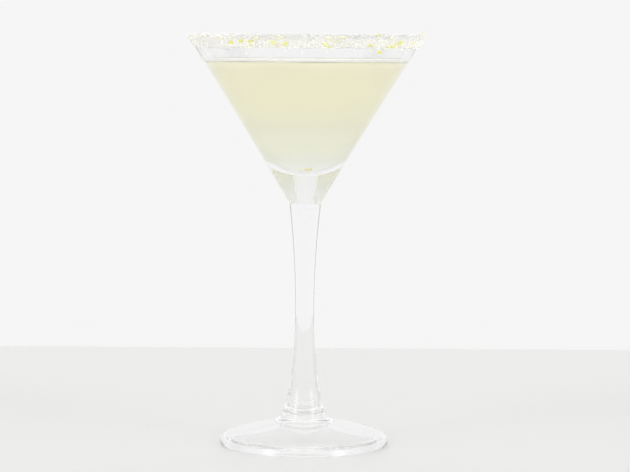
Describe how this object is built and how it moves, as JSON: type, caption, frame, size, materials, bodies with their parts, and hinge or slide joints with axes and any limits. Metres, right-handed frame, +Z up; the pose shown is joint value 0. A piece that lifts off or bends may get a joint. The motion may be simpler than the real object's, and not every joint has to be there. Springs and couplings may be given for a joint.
{
  "type": "lemon drop cocktail in a stemmed glass",
  "caption": "Cloudy pale yellow cocktail in a clear conical stemmed glass, with sugar and lemon zest round the rim, on a round domed foot.",
  "frame": {"origin": "centre of the ring that the foot rests on, at table height", "axes": "+Z up along the stem; -Y towards the viewer of the picture, +X to the viewer's right"},
  "size_m": [0.1027, 0.1029, 0.1781],
  "materials": {
    "glass": "clear, smooth and polished",
    "drink": "cloudy pale lemon liquid, paler towards the bottom",
    "sugar": "white sugar grains with yellow lemon zest flecks"
  },
  "bodies": {
    "root": {"glass": "glass", "drink": "drink", "sugar_rim": "sugar"}
  },
  "joints": []
}
